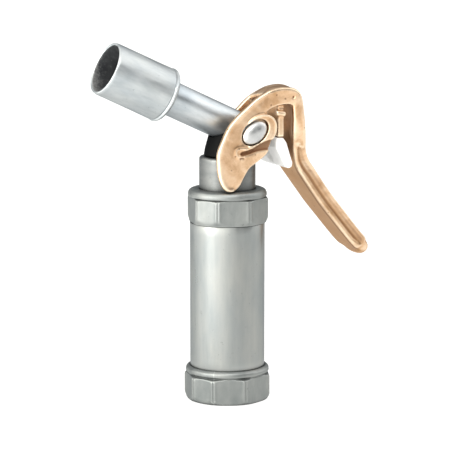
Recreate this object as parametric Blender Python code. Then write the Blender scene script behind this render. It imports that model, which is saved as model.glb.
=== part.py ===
"""Squeeze-lever fuel nozzle: barrel body, lift valve in the neck, bell spout and a cast bronze lever.

Frame: metres, +Z up the body. The origin is the centre of the inlet mouth. The spout leans
towards -X and the lever handle hangs on the +X side. The lever turns on an axis along Y.
"""
import math

import bmesh
import bpy
from mathutils import Matrix, Vector

for old_object in list(bpy.data.objects):
    bpy.data.objects.remove(old_object, do_unlink=True)

# ---- driving dimensions, millimetres and degrees ----
MM = 0.001
GAP = 0.3
LAP = 0.5
WELD_DISTANCE = 0.06

BARREL_RADIUS = 24.15
BARREL_BORE = 20.6
BARREL_END_RADIUS = 22.6
BARREL_END_BORE = 22.9
BARREL_BOTTOM = 12.3
BARREL_TOP = 121.7

INLET_CORNER_RADIUS = 28.4
INLET_FLAT_TOP = 16.4
INLET_SHOULDER_TOP = 22.0
INLET_SHOULDER_RADIUS = 27.0
INLET_SOCKET_RADIUS = 17.6
INLET_LEDGE_RADIUS = 15.2
# directions of the eight corners round +Z, in degrees; the flats are not quite even
INLET_CORNERS = [146.0, 191.4, 224.8, 269.4, 319.0, 0.0, 45.0, 92.0]

UNION_CORNER_RADIUS = 26.9
UNION_BOTTOM = 116.0
UNION_FLAT_TOP = 132.0
UNION_TOP = 137.8
UNION_SHOULDER_RADIUS = 25.5
UNION_CORNERS = [138.0, 196.1, 230.5, 276.8, 322.0, 7.0, 50.0, 94.0]

NECK_RADIUS = 18.15
NECK_TOP = 158.5
NECK_STEP = 144.0
NECK_FLANGE_RADIUS = 22.4
NECK_FLANGE_BOTTOM = 123.7
NECK_FLANGE_TOP = 128.4
NECK_SEAT_BORE = 12.5
NECK_CHAMBER_BORE = 14.6
NECK_CHAMBER_BOTTOM = 131.0
NECK_CHAMBER_TOP = 150.0
NECK_PORT_RADIUS = 8.6

SEAT_RADIUS = 12.2
SEAT_BORE = 8.2
SEAT_BOTTOM = 124.4
SEAT_TOP = 131.3
ROD_RADIUS = 1.8
ROD_BOTTOM = 126.0
ROD_TOP = 179.2
POPPET_RADIUS = 10.5
POPPET_BOTTOM = 133.0
POPPET_TOP = 136.4
SPRING_RADIUS = 7.6
SPRING_WIRE = 0.9
SPRING_TURNS = 4.5
SPRING_BOTTOM = 137.7
SPRING_TOP = 146.1
GUIDE_BOTTOM = 147.4
GUIDE_TOP = 149.7

SPOUT_TILT = 25.2
SPOUT_CENTRE_Z = 178.7
TUBE_RADIUS = 11.1
TUBE_BORE = 9.6
TUBE_REAR = -18.6
TUBE_FRONT = 56.5
BELL_REAR = 48.0
BELL_FLOOR = 57.0
BELL_STEP = 58.8
BELL_FRONT = 93.4
BELL_REAR_RADIUS = 17.7
BELL_FRONT_RADIUS = 17.4
BELL_WALL = 2.0

PIVOT_X = 8.4
PIVOT_Z = 175.4
SPINDLE_RADIUS = 3.0
HEAD_LENGTHS = (9.3, 6.3)
HEAD_TURN = 35.0
EAR_RADIUS = 6.6
EAR_NEAR = -17.4
EAR_FAR = 16.4

CHEEK_NEAR_OUT = -22.6
CHEEK_NEAR_IN = -18.9
CHEEK_FAR_IN = 17.3
CHEEK_FAR_OUT = 20.7
HANDLE_HALF_WIDTH = 12.0
HANDLE_THICKNESS = 9.2
HOOD_THICKNESS = 3.6

SCREW_X = 28.8

LARGE_ROUND = 36
SMALL_ROUND = 20

# outline of the near cheek, seen from the -Y side: (x, z)
NEAR_CHEEK = [
    (-17.4, 157.0), (-17.2, 163.2), (-14.2, 171.2), (-9.8, 179.5), (-4.0, 185.8),
    (2.9, 191.5), (9.7, 196.8), (17.6, 201.0), (24.0, 202.8), (31.1, 203.0),
    (37.0, 201.9), (41.0, 198.6), (42.6, 193.5), (44.2, 182.0), (36.9, 181.2),
    (36.4, 190.4), (34.4, 192.0), (29.5, 192.1), (24.4, 191.4), (20.0, 189.8), (16.8, 187.2),
    (20.6, 184.6), (23.4, 180.0), (24.2, 174.5), (22.0, 170.6), (20.0, 165.6), (17.1, 161.1),
    (13.0, 157.9), (9.0, 155.3), (4.9, 152.4), (1.2, 146.9), (-2.1, 141.3), (-6.2, 138.5),
    (-10.2, 138.6), (-13.2, 140.9), (-15.4, 144.9), (-16.8, 150.4),
]
FAR_CHEEK = [
    (1.0, 179.0), (6.6, 184.4), (14.2, 185.8), (17.2, 188.0), (22.0, 191.4),
    (27.0, 194.6), (33.3, 197.8), (39.8, 199.4), (43.5, 198.0), (46.0, 182.0), (39.5, 181.5),
    (34.5, 189.5), (26.0, 186.0), (18.5, 175.5), (15.5, 169.5), (9.0, 167.0),
    (3.0, 169.2),
]
# the strap that joins the cheeks over the top and runs down into the handle:
# outer surface on the near side, outer surface on the far side, the two side limits, thickness
STRAP = [
    ((9.7, 195.8), (16.6, 188.8), -20.0, 19.5, HOOD_THICKNESS),
    ((17.6, 200.3), (24.0, 193.6), -20.0, 19.5, HOOD_THICKNESS),
    ((24.0, 202.2), (30.5, 197.0), -20.0, 19.5, HOOD_THICKNESS),
    ((31.1, 202.5), (37.5, 199.4), -20.0, 19.5, 3.8),
    ((36.8, 201.4), (43.0, 199.6), -20.0, 19.5, 5.0),
    ((40.7, 198.2), (46.4, 196.4), -20.2, 19.5, 5.8),
    ((42.5, 193.0), (47.6, 191.4), -20.9, 19.0, 6.2),
    ((44.2, 182.0), (48.4, 180.6), -21.4, 18.0, 7.4),
    ((45.5, 174.0), (48.4, 172.8), -20.2, 16.8, 8.0),
    ((47.4, 163.5), (49.4, 162.6), -16.8, 14.8, 8.6),
    ((51.0, 155.0), (52.2, 154.4), -14.2, 13.4, HANDLE_THICKNESS),
    ((57.4, 147.0), (57.8, 146.6), -12.5, 12.3, HANDLE_THICKNESS),
    ((70.6, 128.9), (70.6, 128.9), -HANDLE_HALF_WIDTH, HANDLE_HALF_WIDTH, HANDLE_THICKNESS),
    ((86.0, 110.4), (86.0, 110.4), -HANDLE_HALF_WIDTH, HANDLE_HALF_WIDTH, 9.0),
    ((96.2, 99.0), (96.2, 99.0), -11.2, 11.2, 8.8),
    ((99.2, 95.2), (99.2, 95.2), -9.6, 9.6, 8.6),
    ((101.2, 92.2), (101.2, 92.2), -6.6, 6.6, 7.6),
]
ROCKER = [
    (26.4, 170.6), (31.0, 170.4), (33.3, 167.2), (36.1, 158.5), (37.7, 153.9),
    (36.9, 151.4), (34.9, 150.6), (32.6, 152.4), (25.9, 164.4),
]

model = bpy.data.collections.new("fuel_nozzle")
bpy.context.scene.collection.children.link(model)
cutters = bpy.data.collections.new("cutters")
bpy.context.scene.collection.children.link(cutters)


def material(name, colour, roughness, metallic):
    made = bpy.data.materials.new(name)
    made.use_nodes = True
    shader = made.node_tree.nodes["Principled BSDF"]
    shader.inputs["Base Color"].default_value = (*colour, 1.0)
    shader.inputs["Roughness"].default_value = roughness
    shader.inputs["Metallic"].default_value = metallic
    return made


ZINC = ((0.50, 0.52, 0.52), 0.42, 0.9)
DARK_ZINC = ((0.06, 0.065, 0.07), 0.6, 0.7)
STEEL = ((0.62, 0.63, 0.64), 0.3, 1.0)
BRONZE = ((0.72, 0.47, 0.28), 0.35, 0.9)
BRASS = ((0.72, 0.55, 0.25), 0.35, 1.0)
RUBBER = ((0.02, 0.02, 0.02), 0.8, 0.0)
ACETAL = ((0.85, 0.85, 0.83), 0.45, 0.0)


def publish(name, bm, look, collection=None):
    """Turn a bmesh in millimetres into a named object in metres."""
    bmesh.ops.remove_doubles(bm, verts=bm.verts, dist=0.0005)
    bmesh.ops.recalc_face_normals(bm, faces=bm.faces)
    bmesh.ops.triangulate(bm, faces=bm.faces)
    bmesh.ops.scale(bm, verts=bm.verts, vec=(MM, MM, MM))
    mesh = bpy.data.meshes.new(name)
    bm.to_mesh(mesh)
    bm.free()
    made = bpy.data.objects.new(name, mesh)
    if collection is cutters:
        made.hide_render = True
        made.display_type = "WIRE"
    else:
        mesh.materials.append(material(name, *look))
        mesh.shade_smooth()
        mesh.set_sharp_from_angle(angle=math.radians(32))
    (collection or model).objects.link(made)
    return made


def turned(name, profile, look=None, segments=LARGE_ROUND, closed=True, place=None, squash=None,
           collection=None):
    """Spin (radius, height) points about Z; `closed` joins the last point to the first."""
    bm = bmesh.new()
    verts = [bm.verts.new((radius, 0.0, height)) for radius, height in profile]
    pairs = list(zip(verts, verts[1:]))
    if closed:
        pairs.append((verts[-1], verts[0]))
    edges = [bm.edges.new(pair) for pair in pairs]
    bmesh.ops.spin(bm, geom=verts + edges, cent=(0, 0, 0), axis=(0, 0, 1), steps=segments,
                   angle=math.tau, use_merge=True)
    if squash:
        bmesh.ops.scale(bm, verts=bm.verts, vec=squash)
    if place:
        bmesh.ops.transform(bm, verts=bm.verts, matrix=place)
    return publish(name, bm, look, collection)


def rod_shape(name, radius, bottom, top, look=None, segments=SMALL_ROUND, place=None,
              collection=None, squash=None):
    profile = [(0.0, top), (radius, top), (radius, bottom), (0.0, bottom)]
    return turned(name, profile, look, segments, False, place, squash, collection)


def ring_shape(name, inner, outer, bottom, top, look=None, segments=SMALL_ROUND, place=None):
    profile = [(outer, top), (outer, bottom), (inner, bottom), (inner, top)]
    return turned(name, profile, look, segments, True, place)


def round_seal(name, centre_radius, half_width, height, place=None, segments=16):
    points = 6
    profile = [(centre_radius + half_width * math.cos(math.tau * step / points),
                height - half_width * math.sin(math.tau * step / points)) for step in range(points)]
    return turned(name, profile, RUBBER, segments, True, place)


def prism(name, outline, near, far, look=None, collection=None):
    """Extrude an (x, z) outline along Y."""
    bm = bmesh.new()
    face = bm.faces.new([bm.verts.new((x, near, z)) for x, z in outline])
    moved = bmesh.ops.extrude_face_region(bm, geom=[face])["geom"]
    top_verts = [item for item in moved if isinstance(item, bmesh.types.BMVert)]
    bmesh.ops.translate(bm, verts=top_verts, vec=(0, far - near, 0))
    return publish(name, bm, look, collection)


def block(name, low, high, look=None, collection=None, place=None):
    bm = bmesh.new()
    bmesh.ops.create_cube(bm, size=1.0)
    size = Vector(high) - Vector(low)
    centre = (Vector(high) + Vector(low)) / 2
    bmesh.ops.scale(bm, verts=bm.verts, vec=size)
    bmesh.ops.translate(bm, verts=bm.verts, vec=centre)
    if place:
        bmesh.ops.transform(bm, verts=bm.verts, matrix=place)
    return publish(name, bm, look, collection)


def polygon_bar(name, corner_radius, corners, bottom, top, look=None, collection=None, place=None):
    """Upright bar whose corners lie in the given directions, in degrees round +Z."""
    bm = bmesh.new()
    rings = []
    for height in (bottom, top):
        rings.append([bm.verts.new((corner_radius * math.cos(math.radians(corner)),
                                    corner_radius * math.sin(math.radians(corner)), height))
                      for corner in sorted(corners)])
    for step in range(len(corners)):
        after = (step + 1) % len(corners)
        bm.faces.new((rings[0][step], rings[0][after], rings[1][after], rings[1][step]))
    bm.faces.new(rings[0])
    bm.faces.new(rings[1])
    if place:
        bmesh.ops.transform(bm, verts=bm.verts, matrix=place)
    return publish(name, bm, look, collection)


def combine(target, tool, operation):
    step = target.modifiers.new(tool.name, "BOOLEAN")
    step.operation = operation
    step.object = tool
    step.solver = "EXACT"


def weld(target):
    """Close the hair-thin triangles that a boolean can leave."""
    step = target.modifiers.new("weld", "WELD")
    step.merge_threshold = WELD_DISTANCE * MM


SPOUT = (Matrix.Translation((0, 0, SPOUT_CENTRE_Z))
         @ Matrix.Rotation(math.radians(SPOUT_TILT - 90), 4, "Y"))
# local Z of a turned piece becomes world +Y, through the pivot
PIVOT = Matrix.Translation((PIVOT_X, 0, PIVOT_Z)) @ Matrix.Rotation(math.radians(-90), 4, "X")


# ---- inlet end ----
def octagon_collar(name, corner_radius, corners, bottom, flat_top, top, shoulder_radius, bore_profile):
    """Octagonal band with its bottom corners turned off, a rounded shoulder and a stepped bore."""
    chamfer_height = 3.4
    chamfer_reach = 2.0
    shoulder_round = 2.4
    collar = polygon_bar(name, corner_radius, corners, bottom, flat_top, ZINC)
    limit = turned(name + "_limit", [
        (0.0, flat_top + 1.0), (corner_radius - 0.8, flat_top + 1.0), (corner_radius - 0.6, flat_top - 0.1),
        (corner_radius + 0.2, flat_top - 1.2), (corner_radius + 0.2, bottom + chamfer_height),
        (corner_radius - chamfer_reach, bottom - 0.2), (0.0, bottom - 0.2)], closed=False, collection=cutters)
    combine(collar, limit, "INTERSECT")
    shoulder = turned(name + "_shoulder", [
        (0.0, top), (shoulder_radius - shoulder_round, top),
        (shoulder_radius - 0.7, top - 0.9), (shoulder_radius, top - shoulder_round),
        (shoulder_radius - 0.1, flat_top + 0.6), (shoulder_radius - 1.0, flat_top - 0.1),
        (shoulder_radius - 1.0, bottom + 4.0), (0.0, bottom + 4.0)], closed=False, collection=cutters)
    combine(collar, shoulder, "UNION")
    bore = turned(name + "_bore", bore_profile, closed=False, collection=cutters)
    combine(collar, bore, "DIFFERENCE")
    return collar


octagon_collar("inlet_collar", INLET_CORNER_RADIUS, INLET_CORNERS, 0.0, INLET_FLAT_TOP,
               INLET_SHOULDER_TOP, INLET_SHOULDER_RADIUS, [
                   (0.0, 30.0), (BARREL_END_BORE, 30.0), (BARREL_END_BORE, 12.0),
                   (INLET_LEDGE_RADIUS, 12.0), (INLET_LEDGE_RADIUS, 10.0),
                   (INLET_SOCKET_RADIUS, 10.0), (INLET_SOCKET_RADIUS, 1.4),
                   (INLET_SOCKET_RADIUS + 1.4, -1.0), (0.0, -1.0)])
ring_shape("inlet_gasket", 12.6, 17.2, 7.3, 9.7, RUBBER)
ring_shape("strainer_ring", 12.2, 14.9, 10.3, 11.7, BRASS)

screen = rod_shape("strainer_screen", 11.9, 10.6, 11.3, STEEL)
SCREEN_HOLES = [(0.0, 1, 0.0), (4.2, 6, 0.0), (8.4, 9, 0.0)]
hole_index = 0
for ring_radius, hole_count, start in SCREEN_HOLES:
    for step in range(hole_count):
        angle = start + math.tau * step / hole_count
        place = Matrix.Translation((ring_radius * math.cos(angle), ring_radius * math.sin(angle), 0))
        hole_index += 1
        hole = rod_shape("screen_hole_%02d" % hole_index, 1.3, 9.0, 13.0, segments=6, place=place,
                         collection=cutters)
        combine(screen, hole, "DIFFERENCE")

turned("barrel", [
    (BARREL_END_RADIUS, BARREL_TOP), (BARREL_END_RADIUS, UNION_BOTTOM - GAP),
    (BARREL_RADIUS, UNION_BOTTOM - GAP), (BARREL_RADIUS, INLET_SHOULDER_TOP + GAP),
    (BARREL_END_RADIUS, INLET_SHOULDER_TOP + GAP), (BARREL_END_RADIUS, BARREL_BOTTOM),
    (BARREL_BORE, BARREL_BOTTOM), (BARREL_BORE, BARREL_TOP)], ZINC)

# ---- union collar and neck ----
octagon_collar("top_collar", UNION_CORNER_RADIUS, UNION_CORNERS, UNION_BOTTOM, UNION_FLAT_TOP,
               UNION_TOP, UNION_SHOULDER_RADIUS, [
                   (0.0, 140.0), (NECK_RADIUS + GAP, 140.0), (NECK_RADIUS + GAP, NECK_FLANGE_TOP + GAP),
                   (BARREL_END_BORE, NECK_FLANGE_TOP + GAP), (BARREL_END_BORE, 110.0), (0.0, 110.0)])
ring_shape("body_gasket", 19.0, 22.3, BARREL_TOP + GAP, NECK_FLANGE_BOTTOM - GAP, RUBBER)

turned("neck", [
    (NECK_PORT_RADIUS, NECK_TOP), (NECK_RADIUS - 1.5, NECK_TOP), (NECK_RADIUS - 0.4, NECK_TOP - 0.5),
    (NECK_RADIUS, NECK_TOP - 1.6), (NECK_RADIUS, NECK_STEP), (NECK_RADIUS - 0.25, NECK_STEP - 0.3),
    (NECK_RADIUS - 0.25, NECK_FLANGE_TOP), (NECK_FLANGE_RADIUS, NECK_FLANGE_TOP),
    (NECK_FLANGE_RADIUS, NECK_FLANGE_BOTTOM), (NECK_SEAT_BORE, NECK_FLANGE_BOTTOM),
    (NECK_SEAT_BORE, NECK_CHAMBER_BOTTOM), (NECK_CHAMBER_BORE, NECK_CHAMBER_BOTTOM),
    (NECK_CHAMBER_BORE, NECK_CHAMBER_TOP), (NECK_PORT_RADIUS, NECK_CHAMBER_TOP)], ZINC)
turned("valve_seat", [
    (SEAT_RADIUS, SEAT_TOP - 1.0), (SEAT_RADIUS, 129.3), (10.5, 129.3), (10.5, 126.9),
    (SEAT_RADIUS, 126.9), (SEAT_RADIUS, SEAT_BOTTOM), (SEAT_BORE, SEAT_BOTTOM),
    (SEAT_BORE, SEAT_TOP), (SEAT_BORE + 1.0, SEAT_TOP), (SEAT_BORE + 1.8, SEAT_TOP - 1.0)],
    BRASS, SMALL_ROUND)
round_seal("seat_oring", 11.5, 0.7, 128.1)

# ---- lift valve ----
rod_shape("valve_rod", ROD_RADIUS, ROD_BOTTOM, ROD_TOP, STEEL, segments=16)
turned("poppet", [
    (ROD_RADIUS + GAP, POPPET_TOP + 0.9), (4.4, POPPET_TOP + 0.9), (5.2, POPPET_TOP),
    (POPPET_RADIUS, POPPET_TOP), (POPPET_RADIUS, POPPET_BOTTOM), (ROD_RADIUS + GAP, POPPET_BOTTOM)],
    BRASS, SMALL_ROUND)
ring_shape("poppet_seal", ROD_RADIUS + GAP, POPPET_RADIUS - 0.3, SEAT_TOP + GAP, POPPET_BOTTOM - GAP, RUBBER)
nut = polygon_bar("poppet_nut", 4.6, range(0, 360, 60), 127.8, SEAT_TOP, STEEL)
combine(nut, rod_shape("poppet_nut_bore", ROD_RADIUS + GAP, 120.0, 135.0, segments=16,
                       collection=cutters), "DIFFERENCE")
ring_shape("lift_collar", ROD_RADIUS + GAP, 3.4, 175.9, 178.0, STEEL, segments=16)

spring_curve = bpy.data.curves.new("valve_spring", "CURVE")
spring_curve.dimensions = "3D"
spring_curve.bevel_depth = SPRING_WIRE * MM
spring_curve.bevel_resolution = 1
spring_curve.use_fill_caps = True
SPRING_STEPS_PER_TURN = 12
spring_steps = int(SPRING_TURNS * SPRING_STEPS_PER_TURN)
wire = spring_curve.splines.new("POLY")
wire.points.add(spring_steps)
for step in range(spring_steps + 1):
    angle = math.tau * step / SPRING_STEPS_PER_TURN
    height = SPRING_BOTTOM + (SPRING_TOP - SPRING_BOTTOM) * step / spring_steps
    wire.points[step].co = (SPRING_RADIUS * math.cos(angle) * MM, SPRING_RADIUS * math.sin(angle) * MM,
                            height * MM, 1.0)
spring_curve.materials.append(material("valve_spring", *STEEL))
model.objects.link(bpy.data.objects.new("valve_spring", spring_curve))

guide = ring_shape("spring_guide", ROD_RADIUS + 0.5, 14.2, GUIDE_BOTTOM, GUIDE_TOP, BRASS)
GUIDE_HOLES = 6
for step in range(GUIDE_HOLES):
    angle = math.tau * step / GUIDE_HOLES
    place = Matrix.Translation((5.3 * math.cos(angle), 5.3 * math.sin(angle), 0))
    combine(guide, rod_shape("guide_hole_%d" % step, 1.9, 140.0, 155.0, segments=10, place=place,
                             collection=cutters), "DIFFERENCE")

# ---- head: post on the neck, saddle under the tube and two ears for the spindle ----
head = turned("head", [
    (0.0, 170.5), (11.5, 170.5), (13.2, 169.0), (14.2, 166.0), (14.6, NECK_TOP + GAP + 0.8),
    (14.0, NECK_TOP + GAP), (8.3, NECK_TOP + GAP), (8.3, 155.4), (6.75, 155.4), (6.75, 153.4),
    (8.3, 153.4), (8.3, 151.0), (0.0, 151.0)], DARK_ZINC, closed=False)
ears = rod_shape("head_ears", EAR_RADIUS, EAR_NEAR, EAR_FAR, place=PIVOT, collection=cutters)
combine(head, ears, "UNION")
combine(head, block("head_rib", (PIVOT_X - 6.3, EAR_NEAR + 0.1, 160.0),
                    (PIVOT_X + 6.3, EAR_FAR - 0.1, PIVOT_Z + 0.5), collection=cutters), "UNION")
combine(head, rod_shape("head_tube_bore", TUBE_RADIUS + GAP, -60.0, 60.0, segments=LARGE_ROUND,
                        place=SPOUT, collection=cutters), "DIFFERENCE")
combine(head, rod_shape("head_port", 5.5, 140.0, 190.0, segments=SMALL_ROUND, collection=cutters), "DIFFERENCE")
combine(head, rod_shape("head_spindle_bore", 5.0, -30.0, 30.0, place=PIVOT, collection=cutters), "DIFFERENCE")
round_seal("head_oring", 7.65, 0.6, 154.4)

# ---- spout ----
tube = turned("spout_tube", [
    (TUBE_RADIUS, TUBE_FRONT), (TUBE_RADIUS, TUBE_REAR), (TUBE_BORE, TUBE_REAR),
    (TUBE_BORE, TUBE_FRONT)], STEEL, place=SPOUT)
combine(tube, rod_shape("tube_port", 4.9, 150.0, 176.0, collection=cutters), "DIFFERENCE")
combine(tube, rod_shape("tube_spindle_hole", SPINDLE_RADIUS + 0.5, -20.0, 20.0, place=PIVOT,
                        collection=cutters), "DIFFERENCE")
turned("rear_plug", [
    (0.0, TUBE_REAR + 3.6), (8.6, TUBE_REAR + 3.6), (TUBE_BORE - GAP, TUBE_REAR + 2.9),
    (TUBE_BORE - GAP, TUBE_REAR - GAP), (TUBE_RADIUS - 0.2, TUBE_REAR - GAP),
    (TUBE_RADIUS - 0.2, TUBE_REAR - 1.2), (10.0, TUBE_REAR - 1.9), (0.0, TUBE_REAR - 1.9)],
    STEEL, SMALL_ROUND, closed=False, place=SPOUT)
turned("spout_bell", [
    (BELL_FRONT_RADIUS - 0.5, BELL_FRONT), (BELL_FRONT_RADIUS, BELL_FRONT - 0.6),
    (BELL_REAR_RADIUS - 0.5, BELL_STEP + 0.2), (BELL_REAR_RADIUS - 0.25, BELL_STEP - 0.2),
    (BELL_REAR_RADIUS - 0.1, BELL_REAR + 5.0), (BELL_REAR_RADIUS + 0.3, BELL_REAR + 3.4),
    (BELL_REAR_RADIUS + 0.2, BELL_REAR + 1.6), (BELL_REAR_RADIUS - 0.5, BELL_REAR + 0.5),
    (BELL_REAR_RADIUS - 1.8, BELL_REAR), (TUBE_RADIUS + GAP, BELL_REAR),
    (TUBE_RADIUS + GAP, BELL_REAR + 2.2), (12.8, BELL_REAR + 2.2), (12.8, BELL_REAR + 4.2),
    (TUBE_RADIUS + GAP, BELL_REAR + 4.2), (TUBE_RADIUS + GAP, BELL_FLOOR),
    (BELL_FRONT_RADIUS - BELL_WALL, BELL_FLOOR + 1.2),
    (BELL_FRONT_RADIUS - BELL_WALL, BELL_FRONT - 0.5),
    (BELL_FRONT_RADIUS - BELL_WALL + 0.3, BELL_FRONT)], ZINC, place=SPOUT)
round_seal("bell_oring", 12.1, 0.6, BELL_REAR + 3.2, place=SPOUT)

# ---- spindle ----
spindle = rod_shape("pivot_pin", SPINDLE_RADIUS, -21.0, 26.6, STEEL, segments=SMALL_ROUND, place=PIVOT)
PIN_FRAME = PIVOT @ Matrix.Rotation(math.radians(-HEAD_TURN), 4, "Z")
oval_head = turned("pivot_pin_dome", [
    (0.0, -18.9), (0.93, -18.9), (1.0, -19.3), (1.0, -22.2), (0.94, -23.2), (0.78, -24.3),
    (0.5, -25.2), (0.0, -25.6)], closed=False, segments=SMALL_ROUND, place=PIN_FRAME,
    squash=(HEAD_LENGTHS[0], HEAD_LENGTHS[1], 1.0), collection=cutters)
combine(spindle, oval_head, "UNION")
ring_shape("bushing_near", SPINDLE_RADIUS + GAP, 4.7, -15.4, -11.7, BRASS, segments=20, place=PIVOT)
ring_shape("bushing_far", SPINDLE_RADIUS + GAP, 4.7, 11.7, 14.6, BRASS, segments=20, place=PIVOT)
round_seal("spindle_oring_near", 4.0, 0.65, -16.4, place=PIVOT)
round_seal("spindle_oring_far", 4.0, 0.65, 15.6, place=PIVOT)
ring_shape("pin_washer", SPINDLE_RADIUS + GAP, 6.6, 21.0, 22.0, STEEL, segments=20, place=PIVOT)
pin_nut = polygon_bar("pin_nut", 6.3, range(10, 370, 60), 22.3, 26.2, STEEL, place=PIVOT)
combine(pin_nut, rod_shape("pin_nut_bore", SPINDLE_RADIUS + GAP, 20.0, 30.0, segments=20, place=PIVOT,
                           collection=cutters), "DIFFERENCE")

crank = rod_shape("crank_arm", 4.7, -4.2, 4.2, BRASS, place=PIVOT)
combine(crank, block("crank_blade", (-0.4, -3.7, 173.0), (PIVOT_X, 3.7, 175.6), collection=cutters), "UNION")
combine(crank, block("crank_slot", (-4.0, -ROD_RADIUS - 0.4, 170.0), (2.4, ROD_RADIUS + 0.4, 179.0),
                     collection=cutters), "DIFFERENCE")
combine(crank, rod_shape("crank_bore", SPINDLE_RADIUS + GAP, -30.0, 30.0, segments=20, place=PIVOT,
                         collection=cutters), "DIFFERENCE")
combine(crank, rod_shape("crank_screw_hole", 1.6, 178.0, 190.0, segments=12,
                         place=Matrix.Translation((PIVOT_X, 0, 0)), collection=cutters), "DIFFERENCE")
rod_shape("crank_screw", 1.3, PIVOT_Z + SPINDLE_RADIUS + GAP, 182.0, STEEL, segments=12,
          place=Matrix.Translation((PIVOT_X, 0, 0)))

# ---- lever: two cheeks, the strap over the top, the handle and the rib that carries the rocker ----
lever = prism("lever", NEAR_CHEEK, CHEEK_NEAR_OUT, CHEEK_NEAR_IN, BRONZE)
combine(lever, turned("lever_boss", [
    (0.0, CHEEK_NEAR_IN - LAP), (1.0, CHEEK_NEAR_IN - LAP), (1.0, CHEEK_NEAR_OUT - 0.5),
    (0.95, CHEEK_NEAR_OUT - 0.8), (0.0, CHEEK_NEAR_OUT - 0.8)], closed=False, segments=LARGE_ROUND,
    place=PIVOT @ Matrix.Translation((3.4, -0.6, 0)) @ Matrix.Rotation(math.radians(-HEAD_TURN), 4, "Z"),
    squash=(12.4, 9.7, 1.0), collection=cutters), "UNION")
combine(lever, rod_shape("lever_oval_hole", 1.0, -30.0, -10.0, segments=SMALL_ROUND, place=PIN_FRAME,
                         squash=(HEAD_LENGTHS[0] + GAP + 0.1, HEAD_LENGTHS[1] + GAP + 0.1, 1.0),
                         collection=cutters), "DIFFERENCE")
weld(lever)
combine(lever, prism("lever_far_cheek", FAR_CHEEK, CHEEK_FAR_IN, CHEEK_FAR_OUT, collection=cutters), "UNION")
combine(lever, rod_shape("lever_far_hole", SPINDLE_RADIUS + GAP, 10.0, 30.0, segments=20, place=PIVOT,
                         collection=cutters), "DIFFERENCE")


def strap_sections():
    """Closed sections across the strap: five points over the outer face, three back along the inner."""
    sections = []
    for index, (near, far, side_near, side_far, thickness) in enumerate(STRAP):
        before = STRAP[max(index - 1, 0)]
        after = STRAP[min(index + 1, len(STRAP) - 1)]
        along = Vector(after[0]) - Vector(before[0])
        inward = Vector((-along.y, along.x)).normalized()
        if inward.dot(Vector((20.0, 150.0)) - Vector(near)) < 0:
            inward = -inward
        crown = 0.6
        section = []
        for part in (0.0, 0.25, 0.5, 0.75, 1.0):
            point = Vector(near).lerp(Vector(far), part) - inward * crown * (1 - (2 * part - 1) ** 2)
            section.append((point.x, side_near + (side_far - side_near) * part, point.y))
        for part in (0.97, 0.5, 0.03):
            point = Vector(near).lerp(Vector(far), part) + inward * thickness
            section.append((point.x, side_near + (side_far - side_near) * part, point.y))
        sections.append(section)
    return sections


bm = bmesh.new()
rings = [[bm.verts.new(point) for point in section] for section in strap_sections()]
for ring, following in zip(rings, rings[1:]):
    for step in range(len(ring)):
        after = (step + 1) % len(ring)
        bm.faces.new((ring[step], ring[after], following[after], following[step]))
bm.faces.new(rings[0])
bm.faces.new(rings[-1])
combine(lever, publish("lever_strap", bm, None, cutters), "UNION")
combine(lever, block("lever_rib", (26.6, -19.4, 171.4), (30.9, 17.9, 200.0), collection=cutters), "UNION")
combine(lever, rod_shape("lever_screw_hole", 1.9, 165.0, 180.0, segments=12,
                         place=Matrix.Translation((SCREW_X, 0, 0)), collection=cutters), "DIFFERENCE")
weld(lever)

rocker = prism("rocker", ROCKER, -18.5, 16.9, ACETAL)
combine(rocker, rod_shape("rocker_hole", 2.0, 140.0, 180.0, segments=12,
                          place=Matrix.Translation((SCREW_X, 0, 0)), collection=cutters), "DIFFERENCE")
combine(rocker, rod_shape("rocker_counterbore", 3.4, 140.0, 165.4, segments=16,
                          place=Matrix.Translation((SCREW_X, 0, 0)), collection=cutters), "DIFFERENCE")
turned("rocker_screw", [
    (0.0, 178.0), (1.6, 178.0), (1.6, 165.1), (3.0, 165.1), (3.0, 162.6), (0.0, 162.6)], STEEL,
    segments=16, closed=False, place=Matrix.Translation((SCREW_X, 0, 0)))
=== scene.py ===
"""Fuel nozzle, visual model: detailed meshes and procedural materials around the CAD frame.

Lengths are written in millimetres and scaled by MM. +Z runs up the body axis, the spout leans
towards -X and the lever's handle hangs on the +X side.
"""
import math

import bmesh
import bpy
import numpy as np
from mathutils import Matrix, Vector


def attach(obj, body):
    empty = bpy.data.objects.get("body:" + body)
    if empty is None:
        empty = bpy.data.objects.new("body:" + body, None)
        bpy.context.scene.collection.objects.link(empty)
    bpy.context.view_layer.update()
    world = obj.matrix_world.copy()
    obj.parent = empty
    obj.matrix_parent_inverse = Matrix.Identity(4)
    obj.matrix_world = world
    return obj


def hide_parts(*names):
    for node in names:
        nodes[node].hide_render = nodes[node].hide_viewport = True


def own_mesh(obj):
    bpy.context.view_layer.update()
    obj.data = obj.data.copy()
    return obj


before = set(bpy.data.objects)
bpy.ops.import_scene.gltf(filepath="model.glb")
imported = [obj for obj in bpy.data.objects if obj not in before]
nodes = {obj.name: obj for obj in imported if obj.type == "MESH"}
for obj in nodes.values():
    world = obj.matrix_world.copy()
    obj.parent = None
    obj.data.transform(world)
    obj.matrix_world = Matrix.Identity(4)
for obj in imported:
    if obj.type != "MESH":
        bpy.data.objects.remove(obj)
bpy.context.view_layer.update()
MM = 0.001

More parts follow.
